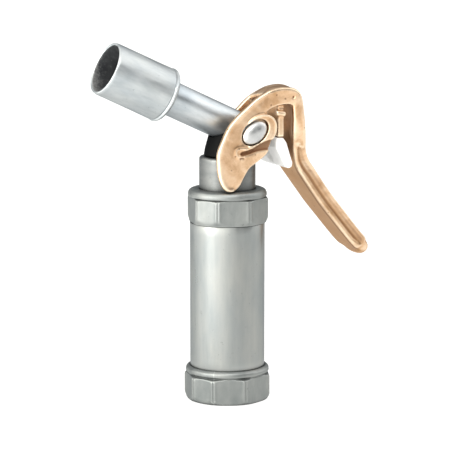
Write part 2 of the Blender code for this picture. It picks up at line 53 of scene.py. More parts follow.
# ---- camera: long lens, a little above the object and towards the spout side ----
AZIMUTH = math.radians(-26.0)
ELEVATION = math.radians(9.5)
CAMERA_DISTANCE = 1.4345
CAMERA_LENS = 177.9
SENSOR_WIDTH = 36.0
VIEW_REACH = 50.0
AIM_HEIGHT = 113.42 * MM
AIM_SHIFT = 1.5 * MM
back = Vector((math.sin(AZIMUTH) * math.cos(ELEVATION), -math.cos(AZIMUTH) * math.cos(ELEVATION),
               math.sin(ELEVATION)))
right = Vector((math.cos(AZIMUTH), math.sin(AZIMUTH), 0.0))
camera_data = bpy.data.cameras.new("camera")
camera_data.lens = CAMERA_LENS
camera_data.sensor_width = SENSOR_WIDTH
camera_data.clip_end = VIEW_REACH
camera = bpy.data.objects.new("camera", camera_data)
bpy.context.scene.collection.objects.link(camera)
camera.location = Vector((0, 0, AIM_HEIGHT)) - right * AIM_SHIFT + back * CAMERA_DISTANCE
camera.rotation_euler = back.to_track_quat("Z", "Y").to_euler()
bpy.context.scene.camera = camera

# ---- dimensions shared with the CAD ----
SPOUT_TILT = 25.2
SPOUT_CENTRE_Z = 178.7
PIVOT_X = 8.4
PIVOT_Z = 175.4
SPOUT = (Matrix.Translation((0, 0, SPOUT_CENTRE_Z))
         @ Matrix.Rotation(math.radians(SPOUT_TILT - 90), 4, "Y"))
PIVOT = Matrix.Translation((PIVOT_X, 0, PIVOT_Z)) @ Matrix.Rotation(math.radians(-90), 4, "X")
HEAD_TURN = 35.0
PIN_FRAME = PIVOT @ Matrix.Rotation(math.radians(-HEAD_TURN), 4, "Z")
FINE = 160


# ---- material helpers ----
def feed(tree, value, socket):
    """Set a number or a colour on a socket, or link an output to it."""
    if isinstance(value, (int, float)):
        socket.default_value = value
    elif isinstance(value, tuple):
        socket.default_value = (*value, 1.0)
    else:
        tree.links.new(value, socket)


def shaded(colour, factor):
    return tuple(min(1.0, value * factor) for value in colour)


class Nodes:
    """A Principled material with short calls for the usual procedural nodes."""

    def __init__(self, name, metallic, roughness):
        self.material = bpy.data.materials.new(name)
        self.material.use_nodes = True
        self.tree = self.material.node_tree
        self.shader = self.tree.nodes["Principled BSDF"]
        self.shader.inputs["Metallic"].default_value = metallic
        self.shader.inputs["Roughness"].default_value = roughness
        self.place = self.add("TexCoord").outputs["Object"]

    def link(self, source, target):
        self.tree.links.new(source, target)

    def drive(self, socket, source):
        self.link(source, self.shader.inputs[socket])

    def add(self, kind, **values):
        """A new node of a kind, with values for its inputs by name."""
        node = self.tree.nodes.new("ShaderNode" + kind)
        for name, value in values.items():
            node.inputs[name.replace("_", " ")].default_value = value
        return node

    def edge(self, colour):
        """Tint of the reflection at a grazing angle."""
        self.shader.inputs["Specular Tint"].default_value = (*colour, 1.0)

    def noise(self, scale, detail=4.0, roughness=0.55, stretch=None, distortion=0.0, tilt=0.0):
        """stretch: frequency along X, Y and Z, after a turn of the frame about Y by the tilt."""
        node = self.add("TexNoise", Scale=scale, Detail=detail, Roughness=roughness, Distortion=distortion)
        source = self.place
        if stretch:
            turn = (0.0, math.radians(tilt), 0.0)
            mapping = self.add("Mapping", Rotation=turn, Scale=tuple(1.0 / value for value in stretch))
            mapping.vector_type = "TEXTURE"
            self.link(self.place, mapping.inputs["Vector"])
            source = mapping.outputs["Vector"]
        self.link(source, node.inputs["Vector"])
        return node.outputs["Fac"]

    def cells(self, scale):
        node = self.add("TexVoronoi", Scale=scale)
        self.link(self.place, node.inputs["Vector"])
        return node.outputs["Distance"]

    def ramp(self, factor, stops):
        node = self.add("ValToRGB")
        elements = node.color_ramp.elements
        while len(elements) < len(stops):
            elements.new(0.5)
        for element, (position, colour) in zip(elements, stops):
            element.position = position
            element.color = (*colour, 1.0)
        self.link(factor, node.inputs["Fac"])
        return node.outputs["Color"]

    def span(self, factor, low, high, start=0.0, end=1.0):
        """low at the start of the factor, high at its end, and straight between them."""
        node = self.add("MapRange", From_Min=start, From_Max=end, To_Min=low, To_Max=high)
        self.link(factor, node.inputs["Value"])
        return node.outputs["Result"]

    def mix(self, factor, first, second, blend="MIX"):
        node = self.add("Mix")
        node.data_type = "RGBA"
        node.blend_type = blend
        for value, index in ((factor, 0), (first, 6), (second, 7)):
            feed(self.tree, value, node.inputs[index])
        return node.outputs[2]

    def math(self, operation, first, second):
        node = self.add("Math")
        node.operation = operation
        feed(self.tree, first, node.inputs[0])
        feed(self.tree, second, node.inputs[1])
        return node.outputs[0]

    def part(self, vector, axis):
        node = self.add("SeparateXYZ")
        self.link(vector, node.inputs["Vector"])
        return node.outputs[axis]

    def vector(self, operation, first, second=None):
        node = self.add("VectorMath")
        node.operation = operation
        self.link(first, node.inputs[0])
        if second:
            node.inputs[1].default_value = second
        return node.outputs["Vector" if operation == "NORMALIZE" else "Value"]

    def geometry(self, output):
        return self.add("NewGeometry").outputs[output]

    def shelter(self, reach):
        """1 in the open, towards 0 in corners closer than the reach in millimetres."""
        node = self.add("AmbientOcclusion", Distance=reach * MM)
        node.samples = SHELTER_SAMPLES
        return node.outputs["AO"]

    def value(self, name):
        """A number stored at each point of the mesh."""
        node = self.add("Attribute")
        node.attribute_name = name
        return node.outputs["Fac"]

    def bump(self, heights):
        """heights: (height output, distance in millimetres) pairs, one bump after another."""
        normal = None
        for height, distance in heights:
            node = self.add("Bump", Strength=1.0, Distance=distance * MM)
            self.link(height, node.inputs["Height"])
            if normal is not None:
                self.link(normal, node.inputs["Normal"])
            normal = node.outputs["Normal"]
        self.drive("Normal", normal)


SHELTER_SAMPLES = 8
ZINC_RIM = (0.50, 0.52, 0.54)
MOTTLE_SCALE = 55.0
STREAK_SCALE = 170.0
GRAIN_SCALE = 1500.0
SPECK_SCALE = 420.0
SPECK_TONE = 0.45
EDGE_WEAR_AND_HIGHLIGHT_TONE = 1.5
CREASE_SHADE_TONE = 0.25
CORNER_SHADE_TONE = 0.16
UNDERSIDE_SHADE_TONE = 0.30


def zinc(name, light, dark, roughness, cast=0.5, streak=(1.0, 1.0, 0.25), metallic=0.9, wear=0.86,
         shade=2.5, tilt=0.0, under=0.0):
    """Satin zinc-coloured metal: soft mottling, faint long streaks, cast grain, painted shade in the corners
    and creases.

    wear is the tone of the streaks, shade the reach of the painted shade in corners, under the strength of
    the painted shade on undersides.
    """
    made = Nodes(name, metallic, roughness)
    made.edge(ZINC_RIM)
    mottle = made.noise(MOTTLE_SCALE, 5.0, 0.6, tuple(0.35 + 0.65 * value for value in streak), tilt=tilt)
    streaks = made.noise(STREAK_SCALE, 4.0, 0.6, streak, tilt=tilt)
    grain = made.noise(GRAIN_SCALE, 2.0, 0.5)
    specks = made.noise(SPECK_SCALE, 3.0, 0.7)
    broad = made.ramp(mottle, [(0.32, dark), (0.66, light)])
    stain_and_shade = made.ramp(streaks, [(0.36, (wear, wear + 0.015, wear + 0.02)), (0.62, (1.0, 1.0, 1.0))])
    colour = made.mix(0.8, broad, stain_and_shade, "MULTIPLY")
    colour = made.mix(made.span(specks, 0.0, 0.55, 0.66, 0.74), colour, shaded(dark, SPECK_TONE))
    # rubbed wear and a painted highlight: brighter on convex edges
    edge = made.span(made.geometry("Pointiness"), 0.0, 0.6, 0.505, 0.56)
    colour = made.mix(edge, colour, shaded(light, EDGE_WEAR_AND_HIGHLIGHT_TONE))
    # painted shade: darker in concave creases
    crease_shade = made.span(made.geometry("Pointiness"), 0.8, 0.0, 0.42, 0.49)
    colour = made.mix(crease_shade, colour, shaded(dark, CREASE_SHADE_TONE))
    # painted shade: darker in corners, out to the shade reach
    corner_shade = made.span(made.shelter(shade), 0.85, 0.0, 0.35, 0.9)
    colour = made.mix(corner_shade, colour, shaded(dark, CORNER_SHADE_TONE))
    # painted shade on undersides: darker where the surface faces down
    if under:
        low = made.span(made.part(made.geometry("Normal"), "Z"), under, 0.0, -0.80, -0.15)
        colour = made.mix(low, colour, shaded(dark, UNDERSIDE_SHADE_TONE))
    made.drive("Base Color", colour)
    rough = made.span(streaks, roughness - 0.07, roughness + 0.10, 0.3, 0.7)
    made.drive("Roughness", rough)
    made.bump([(mottle, 0.10 * cast), (streaks, 0.05), (grain, 0.02)])
    return made.material


def turned_metal(name, light, dark, roughness, rings=(1.0, 1.0, 9.0)):
    """Machined metal with fine turning marks and slight staining."""
    made = Nodes(name, 1.0, roughness)
    marks = made.noise(500.0, 3.0, 0.6, rings)
    stain_and_shade = made.noise(90.0, 4.0, 0.6)
    made.drive("Base Color", made.ramp(stain_and_shade, [(0.35, dark), (0.62, light)]))
    rough = made.span(marks, roughness - 0.06, roughness + 0.12, 0.3, 0.7)
    made.drive("Roughness", rough)
    made.bump([(marks, 0.02), (stain_and_shade, 0.02)])
    return made.material


def rubber(name):
    made = Nodes(name, 0.0, 0.7)
    bloom = made.noise(120.0, 5.0, 0.6)
    grain = made.noise(1800.0, 2.0, 0.5)
    made.drive("Base Color", made.ramp(bloom, [(0.35, (0.012, 0.012, 0.013)), (0.7, (0.035, 0.034, 0.033))]))
    made.drive("Roughness", made.span(bloom, 0.6, 0.85, 0.3, 0.7))
    made.bump([(grain, 0.02)])
    return made.material


BRONZE_RIM = (0.63, 0.55, 0.49)
BRONZE_LOW = (0.50, 0.30, 0.16)
BRONZE_TAN = (0.73, 0.50, 0.315)
BRONZE_HIGH = (0.90, 0.70, 0.50)
BRONZE_RUBBED_HIGHLIGHT = (1.0, 0.86, 0.66)
PATINA = (0.56, 0.34, 0.19)
HANDLED = (0.44, 0.27, 0.15)
PAINTED_SHADE_BROWN = (0.36, 0.205, 0.10)
DEEP_BROWN = (0.15, 0.062, 0.027)
SHADED_BROWN = (0.26, 0.125, 0.06)
PIT_BROWN = (0.16, 0.07, 0.03)
BLACK = (0.0, 0.0, 0.0)
WHITE = (1.0, 1.0, 1.0)


def bronze():
    """Cast bronze, rubbed bright on the high spots with a painted highlight, brown painted shade in the
    hollows and corners, with small casting pits.
    """
    made = Nodes("bronze", 0.95, 0.34)
    made.edge(BRONZE_RIM)
    mottle = made.noise(70.0, 6.0, 0.62, distortion=0.4)
    patch = made.noise(26.0, 3.0, 0.5)
    fine = made.noise(900.0, 3.0, 0.6)
    streaks = made.noise(240.0, 4.0, 0.6, (1.0, 0.35, 1.0))
    tan = made.ramp(mottle, [(0.34, BRONZE_LOW), (0.50, BRONZE_TAN), (0.66, BRONZE_HIGH)])
    tan = made.mix(made.span(patch, 0.0, 0.40, 0.45, 0.7), tan, PATINA)
    worn = made.math("ADD", made.part(made.place, "X"), made.span(mottle, -0.006, 0.006, 0.3, 0.7))
    tan = made.mix(made.span(worn, 0.0, 0.08, 0.038, 0.060), tan, HANDLED)
    bent = made.value("bend")
    # painted shade: darker brown in hollows
    tan = made.mix(made.span(bent, 0.0, 0.90, 0.10, 0.62), tan, DEEP_BROWN)
    # rubbed wear and a painted highlight on outside edges
    tan = made.mix(made.span(bent, 0.90, 0.0, -0.62, -0.10), tan, BRONZE_RUBBED_HIGHLIGHT)
    # painted shade carried by a mesh attribute: brown in the slot, the grooves, under the hood and on the
    # handle's faces
    painted_shade = made.value("stain_and_shade")
    tan = made.mix(made.span(painted_shade, 0.0, 0.85, 0.0, 0.5), tan, PAINTED_SHADE_BROWN)
    tan = made.mix(made.span(painted_shade, 0.0, 0.90, 0.45, 1.0), tan, DEEP_BROWN)
    tan = made.mix(made.span(made.shelter(18.0), 0.62, 0.0, 0.15, 0.70), tan, SHADED_BROWN)
    pits = made.ramp(made.cells(210.0), [(0.06, BLACK), (0.17, WHITE)])
    pit_mask = made.ramp(made.noise(60.0, 2.0, 0.5), [(0.50, WHITE), (0.56, BLACK)])
    pits = made.mix(pit_mask, pits, WHITE)
    tan = made.mix(made.span(pits, 0.75, 0.0), tan, PIT_BROWN)
    made.drive("Base Color", tan)
    made.drive("Metallic", made.span(painted_shade, 0.95, 0.30, 0.30, 0.90))
    rough = made.math("ADD", made.span(mottle, 0.28, 0.44, 0.3, 0.7), made.span(painted_shade, 0.0, 0.2, 0.2, 0.9))
    made.drive("Roughness", rough)
    made.bump([(mottle, 0.30), (pits, 0.15), (streaks, 0.06), (fine, 0.02)])
    return made.material


MOUTH_SPAN = (-0.0905, -0.081)


def bore(name):
    """Inside of a tube: oxide with painted shade, near black deep inside and with painted light towards the
    mouth, rough and speckled.
    """
    made = Nodes(name, 0.4, 0.6)
    cloud = made.noise(90.0, 5.0, 0.65)
    specks = made.noise(520.0, 3.0, 0.7)
    colour = made.ramp(cloud, [(0.35, (0.024, 0.026, 0.029)), (0.68, (0.070, 0.073, 0.076))])
    colour = made.mix(made.span(specks, 0.0, 0.8, 0.60, 0.72), colour, (0.16, 0.16, 0.155))
    # painted light: lighter towards the open end of the spout
    mouth = made.math("ADD", made.part(made.place, "X"), made.span(specks, -0.004, 0.004, 0.3, 0.7))
    colour = made.mix(made.span(mouth, 0.9, 0.0, *MOUTH_SPAN), colour, (0.34, 0.34, 0.33))
    made.drive("Base Color", colour)
    made.drive("Roughness", made.span(specks, 0.5, 0.75, 0.3, 0.7))
    made.bump([(specks, 0.06), (cloud, 0.08)])
    return made.material


def acetal():
    made = Nodes("acetal", 0.0, 0.42)
    cloud = made.noise(80.0, 4.0, 0.6)
    scuff = made.noise(420.0, 5.0, 0.65, (1.0, 0.3, 1.0))
    made.drive("Base Color", made.ramp(cloud, [(0.35, (0.84, 0.84, 0.82)), (0.65, (0.91, 0.91, 0.895))]))
    made.drive("Roughness", made.span(scuff, 0.34, 0.55, 0.3, 0.7))
    made.shader.inputs["Subsurface Weight"].default_value = 0.5
    made.shader.inputs["Subsurface Radius"].default_value = (1.0, 1.0, 1.0)
    made.shader.inputs["Subsurface Scale"].default_value = 0.006
    made.bump([(scuff, 0.03), (cloud, 0.05)])
    return made.material


looks = {
    "barrel": zinc("barrel_zinc", (0.335, 0.34, 0.322), (0.275, 0.293, 0.29), 0.34, 0.35,
                   (1.0, 1.0, 0.10)),
    "collar": zinc("collar_zinc", (0.305, 0.314, 0.30), (0.205, 0.219, 0.214), 0.44, 1.1),
    # the neck's long shade reach paints shade on it where the lever and the collar come near
    "neck": zinc("neck_zinc", (0.25, 0.254, 0.242), (0.172, 0.179, 0.176), 0.40, 0.6,
                 (1.0, 1.0, 3.0), shade=14.0),
    "bell": zinc("bell_zinc", (0.60, 0.62, 0.61), (0.43, 0.465, 0.485), 0.42, 0.5, (0.22, 1.0, 1.0),
                 wear=0.74, tilt=SPOUT_TILT, under=0.30),
    "tube": zinc("tube_zinc", (0.76, 0.78, 0.78), (0.46, 0.51, 0.54), 0.36, 0.4, (0.22, 1.0, 1.0),
                 wear=0.72, tilt=SPOUT_TILT, under=0.62),
    "bore": bore("bore_oxide_and_shade"),
    # the head post's near-black colour is painted shade of the recess under the tube
    "dark": zinc("head_painted_shade", (0.011, 0.011, 0.0105), (0.006, 0.006, 0.006), 0.58, 1.3,
                 metallic=0.96),
    "steel": turned_metal("steel", (0.70, 0.71, 0.72), (0.50, 0.51, 0.52), 0.30),
    "pin": turned_metal("pin_steel", (0.63, 0.63, 0.62), (0.44, 0.45, 0.445), 0.34, (1.0, 1.0, 1.0)),
    "brass": turned_metal("brass", (0.80, 0.60, 0.28), (0.60, 0.42, 0.17), 0.32),
    "rubber": rubber("rubber"),
    "bronze": bronze(),
    "acetal": acetal(),
}


# ---- mesh helpers ----
MERGE_REACH = 0.0005
SLIVER_REACH = 0.0002
SHARP_ANGLE = 40.0


def publish(name, vertices, faces, look, body, replaced=(), place=None, sharp=SHARP_ANGLE,
            inside=0.0):
    """Faces whose middle lies nearer the local axis than inside take the dark bore material, oxide with
    painted shade.
    """
    mesh = bpy.data.meshes.new(name)
    mesh.from_pydata(vertices, [], faces)
    bm = bmesh.new()
    bm.from_mesh(mesh)
    for face in bm.faces:
        middle = face.calc_center_median()
        face.material_index = 1 if math.hypot(middle.x, middle.y) < inside else 0
    bmesh.ops.remove_doubles(bm, verts=bm.verts, dist=MERGE_REACH)
    bmesh.ops.dissolve_degenerate(bm, edges=bm.edges, dist=SLIVER_REACH)
    if place:
        bmesh.ops.transform(bm, verts=bm.verts, matrix=place)
    bmesh.ops.recalc_face_normals(bm, faces=bm.faces)
    bmesh.ops.scale(bm, verts=bm.verts, vec=(MM, MM, MM))
    bm.to_mesh(mesh)
    bm.free()
    mesh.materials.append(looks[look])
    mesh.materials.append(looks["bore"] if inside else looks[look])
    mesh.shade_smooth()
    mesh.set_sharp_from_angle(angle=math.radians(sharp))
    made = bpy.data.objects.new(name, mesh)
    bpy.context.scene.collection.objects.link(made)
    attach(made, body)
    if replaced:
        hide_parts(*replaced)
    return made


def lathe(name, profile, look, body, replaced=(), place=None, segments=FINE, shape=None,
          sharp=SHARP_ANGLE, closed=True, squash=(1.0, 1.0), angles=None, inside=0.0):
    """Spin (radius, height) points. shape(angle, radius, height) may return another radius."""
    vertices = []
    angles = angles or [math.tau * step / segments for step in range(segments)]
    segments = len(angles)
    for angle in angles:
        for radius, height in profile:
            reach = shape(angle, radius, height) if shape else radius
            vertices.append((reach * math.cos(angle) * squash[0], reach * math.sin(angle) * squash[1],
                             height))
    count = len(profile)
    spans = count if closed else count - 1
    faces = []
    for step in range(segments):
        following = (step + 1) % segments
        for index in range(spans):
            after = (index + 1) % count
            faces.append((step * count + index, step * count + after,
                          following * count + after, following * count + index))
    return publish(name, vertices, faces, look, body, replaced, place, sharp, inside)


def rounded(points, radius, steps=5, closed=False):
    """Replace each corner of a polyline by a small arc-like curve."""
    result = []
    count = len(points)
    for index, point in enumerate(points):
        here = Vector(point)
        if not closed and index in (0, count - 1):
            result.append(tuple(here))
            continue
        before = Vector(points[index - 1])
        after = Vector(points[(index + 1) % count])
        reach_in = min(radius, (before - here).length * 0.45)
        reach_out = min(radius, (after - here).length * 0.45)
        start = here + (before - here).normalized() * reach_in
        end = here + (after - here).normalized() * reach_out
        for step in range(steps + 1):
            part = step / steps
            result.append(tuple(start * (1 - part) ** 2 + here * 2 * part * (1 - part) + end * part ** 2))
    return result


def divided(points, length, closed=False):
    """Split long stretches so that the surface can carry small unevenness."""
    result = []
    pairs = list(zip(points, points[1:] + points[:1])) if closed else list(zip(points, points[1:]))
    for start, end in pairs:
        pieces = max(1, int(math.ceil((Vector(end) - Vector(start)).length / length)))
        for step in range(pieces):
            part = step / pieces
            result.append(tuple(Vector(start).lerp(Vector(end), part)))
    if not closed:
        result.append(tuple(points[-1]))
    return result


# ---- collars: eight ground flats under a rounded shoulder ----
def soft_join(first, second, soft):
    """Smaller of two distances, blended where they are close."""
    gap = np.maximum(soft - np.abs(first - second), 0.0) / soft
    return np.minimum(first, second) - gap * gap * soft * 0.25


FRONT = math.degrees(AZIMUTH) - 90.0
INLET_CORNERS = [-98.0, -52.6, -19.2, 25.4, 75.0, 116.0, 161.0, 208.0]
UNION_CORNERS = [-106.0, -47.9, -13.5, 32.8, 78.0, 123.0, 166.0, 210.0]
LINE_DEPTH = 0.45
LINE_WIDTH = 0.42
BURR_HEIGHT = 0.25
BURR_PLACE = 1.3
BURR_WIDTH = 0.7
SHOULDER_SOFTNESS = 0.8
STEPS_PER_FLAT = 34
STEP_CROWDING = 0.13
PROFILE_STEP = 0.8
BORE_MARGIN = 0.5
TOP_MARGIN = 0.6


def collar(name, corner_radius, corners, flat_top, profile, bore_profile, replaced):
    """Flats between the corners, a cut line along each corner; the profile trims it top and bottom."""
    turns = sorted((math.radians(FRONT + corner)) % math.tau for corner in corners)
    spans = [(start, (after - start) % math.tau) for start, after in zip(turns, turns[1:] + turns[:1])]
    angles = []
    for start, span in spans:
        for step in range(STEPS_PER_FLAT):
            part = step / STEPS_PER_FLAT
            angles.append(start + span * (part - STEP_CROWDING * math.sin(math.tau * part)))

    def shape(angle, radius, height):
        if radius < bore_profile[0][0] + BORE_MARGIN or height > flat_top + TOP_MARGIN:
            return radius
        for start, span in spans:
            offset = (angle - start) % math.tau
            if offset <= span + 1e-6:
                break
        across = offset - span / 2
        flat = corner_radius * math.cos(span / 2) / math.cos(across)
        to_corner = corner_radius * min(offset, span - offset)
        flat -= LINE_DEPTH * math.exp(-(to_corner / LINE_WIDTH) ** 2)
        flat += BURR_HEIGHT * math.exp(-((to_corner - BURR_PLACE) / BURR_WIDTH) ** 2)
        return soft_join(flat, radius, SHOULDER_SOFTNESS)

    outer = divided(profile, PROFILE_STEP)
    lathe(name, outer + bore_profile[::-1][1:-1], "collar", "body", replaced, shape=shape, sharp=60.0,
          angles=angles)


INLET_BORE = [(24.35, 22.0), (22.95, 21.2), (22.9, 12.0), (15.2, 12.0), (15.2, 10.0), (17.6, 10.0),
              (17.6, 1.4), (18.9, 0.0)]
collar("inlet_collar_shell", 28.3, INLET_CORNERS, 16.2, rounded([
    (24.35, 22.0), (25.3, 22.0), (26.9, 20.6), (27.1, 18.4), (26.0, 17.3), (26.0, 16.9), (27.6, 16.2),
    (28.6, 15.0), (28.6, 3.6), (26.4, 0.0), (18.9, 0.0)], 0.7, 4), INLET_BORE, ["inlet_collar"])
UNION_BORE = [(18.45, 137.6), (18.45, 128.7), (22.9, 128.7), (22.9, 117.0), (24.4, 116.0)]
collar("top_collar_shell", 26.8, UNION_CORNERS, 132.0, rounded([
    (18.45, 137.6), (22.3, 137.9), (24.6, 136.9), (25.5, 134.9), (25.4, 133.1), (24.8, 132.7),
    (24.8, 132.4), (26.3, 132.0), (27.0, 130.8), (27.0, 119.8), (25.4, 116.9), (25.2, 116.0),
    (24.4, 116.0)], 0.9, 4), UNION_BORE, ["top_collar"])

# ---- barrel and neck ----
barrel_outline = rounded([
    (20.6, 121.7), (22.6, 121.7), (22.6, 115.7), (24.15, 115.7), (24.15, 21.4), (22.6, 21.0),
    (22.6, 12.3), (20.6, 12.3)], 0.25, 2, closed=True)
lathe("barrel_tube", divided(barrel_outline, 6.0, closed=True), "barrel", "body", ["barrel"])
neck_outline = rounded([
    (8.6, 158.5), (17.3, 158.5), (18.15, 157.4), (18.15, 128.4), (22.4, 128.4), (22.4, 123.7),
    (12.5, 123.7), (12.5, 131.0), (14.6, 131.0), (14.6, 150.0), (8.6, 150.0)], 1.2, 6, closed=True)
lathe("neck_casting", divided(neck_outline, 4.0, closed=True), "neck", "body", ["neck"])

# ---- spout ----
tube_outline = rounded([(11.1, 56.5), (11.1, -18.6), (9.6, -18.6), (9.6, 56.5)], 0.3, 3, closed=True)
lathe("spout_pipe", divided(tube_outline, 5.0, closed=True), "tube", "body", ["spout_tube"], SPOUT,
      inside=10.2)
bell_outline = rounded([
    (16.9, 93.4), (17.3, 91.9), (17.45, 60.0), (17.6, 51.9), (17.25, 51.4), (17.25, 51.0), (18.0, 50.4),
    (18.0, 49.4), (16.9, 48.1), (14.5, 48.0), (11.4, 48.0), (11.4, 51.4), (12.8, 51.4),
    (12.8, 53.4), (11.4, 53.4), (11.4, 57.0), (15.3, 58.2), (15.3, 92.4), (15.8, 93.4)], 0.5, 4, closed=True)
lathe("spout_bell_shell", divided(bell_outline, 3.0, closed=True), "bell", "body", ["spout_bell"], SPOUT,
      sharp=55.0, inside=15.6)


# ---- cast pieces: distance fields turned into one smooth closed skin ----
def soft_cut(solid, hole, soft):
    return -soft_join(-solid, hole, soft)


def smooth_outline(points, steps=4, closed=True):
    """Catmull-Rom curve through the points."""
    count = len(points)
    result = []
    for index in range(count if closed else count - 1):
        if closed:
            four = [np.array(points[(index + shift) % count], float) for shift in (-1, 0, 1, 2)]
        else:
            four = [np.array(points[min(max(index + shift, 0), count - 1)], float) for shift in (-1, 0, 1, 2)]
        for step in range(steps):
            t = step / steps
            result.append(0.5 * (2 * four[1] + (four[2] - four[0]) * t
                                 + (2 * four[0] - 5 * four[1] + 4 * four[2] - four[3]) * t * t
                                 + (3 * four[1] - four[0] - 3 * four[2] + four[3]) * t ** 3))
    if not closed:
        result.append(np.array(points[-1], float))
    return np.array(result)


def line_distance(points, x, z, closed=False):
    """Distance in the XZ plane from a polyline, and the sign that says inside for a closed one."""
    starts = points if closed else points[:-1]
    ends = np.roll(points, -1, axis=0) if closed else points[1:]
    nearest = np.full(x.shape, 1e9, np.float32)
    inside = np.zeros(x.shape, bool)
    for (x0, z0), (x1, z1) in zip(starts, ends):
        dx, dz = x1 - x0, z1 - z0
        along = np.clip(((x - x0) * dx + (z - z0) * dz) / (dx * dx + dz * dz + 1e-12), 0, 1)
        nearest = np.minimum(nearest, (x - x0 - along * dx) ** 2 + (z - z0 - along * dz) ** 2)
        if closed:
            crosses = (z0 > z) != (z1 > z)
            with np.errstate(divide="ignore", invalid="ignore"):
                inside ^= crosses & (x < x0 + (z - z0) * dx / (dz if dz else 1e-12))
    nearest = np.sqrt(nearest)
    return np.where(inside, -nearest, nearest) if closed else nearest


def slab(flat, lengthwise, radius):
    """Extrude a 2D distance, with edges rounded to the radius."""
    a = flat + radius
    b = lengthwise + radius
    return np.hypot(np.maximum(a, 0), np.maximum(b, 0)) + np.minimum(np.maximum(a, b), 0) - radius


def grid(low, high, step):
    axes = [np.arange(low[k], high[k] + step, step, dtype=np.float32) for k in range(3)]
    x, y, z = np.meshgrid(*axes, indexing="ij", sparse=True)
    return axes, x, y, z


def skin(field, axes, step):
    """Closed quad mesh on the zero level of a field that is negative inside."""
    inside = field < 0
    cells = tuple(n - 1 for n in field.shape)
    total = np.zeros(cells + (3,), np.float32)
    count = np.zeros(cells, np.float32)
    crossings = []
    for axis in range(3):
        low = [slice(None)] * 3
        high = [slice(None)] * 3
        low[axis] = slice(0, -1)
        high[axis] = slice(1, None)
        a, b = field[tuple(low)], field[tuple(high)]
        crossing = inside[tuple(low)] != inside[tuple(high)]
        part = np.where(crossing, a / np.where(crossing, a - b, 1.0), 0.0).astype(np.float32)
        crossings.append(crossing)
        others = [k for k in range(3) if k != axis]
        for first in (0, 1):
            for second in (0, 1):
                window = [slice(None)] * 3
                window[others[0]] = slice(first, first + cells[others[0]])
                window[others[1]] = slice(second, second + cells[others[1]])
                hit = crossing[tuple(window)]
                count += hit
                total[..., axis] += part[tuple(window)]
                total[..., others[0]] += hit * float(first)
                total[..., others[1]] += hit * float(second)
    active = count > 0
    number = np.full(cells, -1, np.int64)
    number[active] = np.arange(int(active.sum()))
    where = np.argwhere(active)
    places = (where + total[active] / count[active][:, None]) * step
    places += np.array([axes[0][0], axes[1][0], axes[2][0]])
    faces = []
    for axis in range(3):
        others = [k for k in range(3) if k != axis]
        spots = np.argwhere(crossings[axis])
        keep = np.ones(len(spots), bool)
        for k in others:
            keep &= (spots[:, k] > 0) & (spots[:, k] < field.shape[k] - 1)
        spots = spots[keep]
        corners = []
        for first, second in ((1, 1), (0, 1), (0, 0), (1, 0)):
            spot = spots.copy()
            spot[:, others[0]] -= first
            spot[:, others[1]] -= second
            corners.append(number[spot[:, 0], spot[:, 1], spot[:, 2]])
        quads = np.stack(corners, axis=1)
        starts_inside = inside[spots[:, 0], spots[:, 1], spots[:, 2]]
        flip = starts_inside if axis == 1 else ~starts_inside
        quads[flip] = quads[flip][:, ::-1]
        faces.append(quads)
    return places, np.concatenate(faces)


def relax(places, faces, rounds):
    """Even out the small steps that the grid leaves."""
    for _ in range(rounds):
        total = np.zeros_like(places)
        count = np.zeros(len(places))
        for k in range(4):
            for other in (faces[:, (k + 1) % 4], faces[:, (k + 3) % 4]):
                for axis in range(3):
                    total[:, axis] += np.bincount(faces[:, k], places[other, axis], len(places))
                count += np.bincount(faces[:, k], minlength=len(places))
        places = places * 0.5 + total / count[:, None] * 0.5
    return places


def averaged(field, reach):
    """Mean of the field over a cube, one axis at a time."""
    for axis in range(3):
        size = field.shape[axis]
        total = np.cumsum(field, axis=axis, dtype=np.float32)
        low = np.clip(np.arange(size) - reach - 1, 0, size - 1)
        high = np.clip(np.arange(size) + reach, 0, size - 1)
        field = (np.take(total, high, axis) - np.take(total, low, axis)) / (2 * reach + 1)
    return field


def sampled(values, spots):
    """Values of a grid between its points; spots are in cells."""
    spots = np.clip(spots, 0, np.array(values.shape) - 1.001)
    cell = spots.astype(int)
    part = spots - cell
    total = np.zeros(len(spots))
    for corner in np.ndindex(2, 2, 2):
        weight = np.prod(np.where(corner, part, 1.0 - part), axis=1)
        at = cell + corner
        total += weight * values[at[:, 0], at[:, 1], at[:, 2]]
    return total


BEND_LIMIT = 4.0
BEND_REACH = 1.5
BEND_FULL = 0.55


def cast_piece(name, field, axes, step, look, body, replaced, rounds=3, stain_and_shade=None):
    """The attribute bend is positive in hollows and negative on outside edges."""
    places, faces = skin(field, axes, step)
    places = relax(places, faces, rounds)
    reach = max(1, int(round(BEND_REACH / step)))
    mean = averaged(np.clip(field, -BEND_LIMIT, BEND_LIMIT), reach)
    spots = (places - [axes[k][0] for k in range(3)]) / step
    bend = -sampled(mean, spots) / BEND_FULL
    mesh = bpy.data.meshes.new(name)
    mesh.from_pydata((places * MM).tolist(), [], faces.tolist())
    mesh.attributes.new("bend", "FLOAT", "POINT").data.foreach_set("value", bend.astype(np.float32))
    if stain_and_shade is not None:
        dirt = mesh.attributes.new("stain_and_shade", "FLOAT", "POINT")
        dirt.data.foreach_set("value", sampled(stain_and_shade, spots).astype(np.float32))
    mesh.materials.append(looks[look])
    mesh.shade_smooth()
    made = bpy.data.objects.new(name, mesh)
    bpy.context.scene.collection.objects.link(made)
    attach(made, body)
    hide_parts(*replaced)
    return made


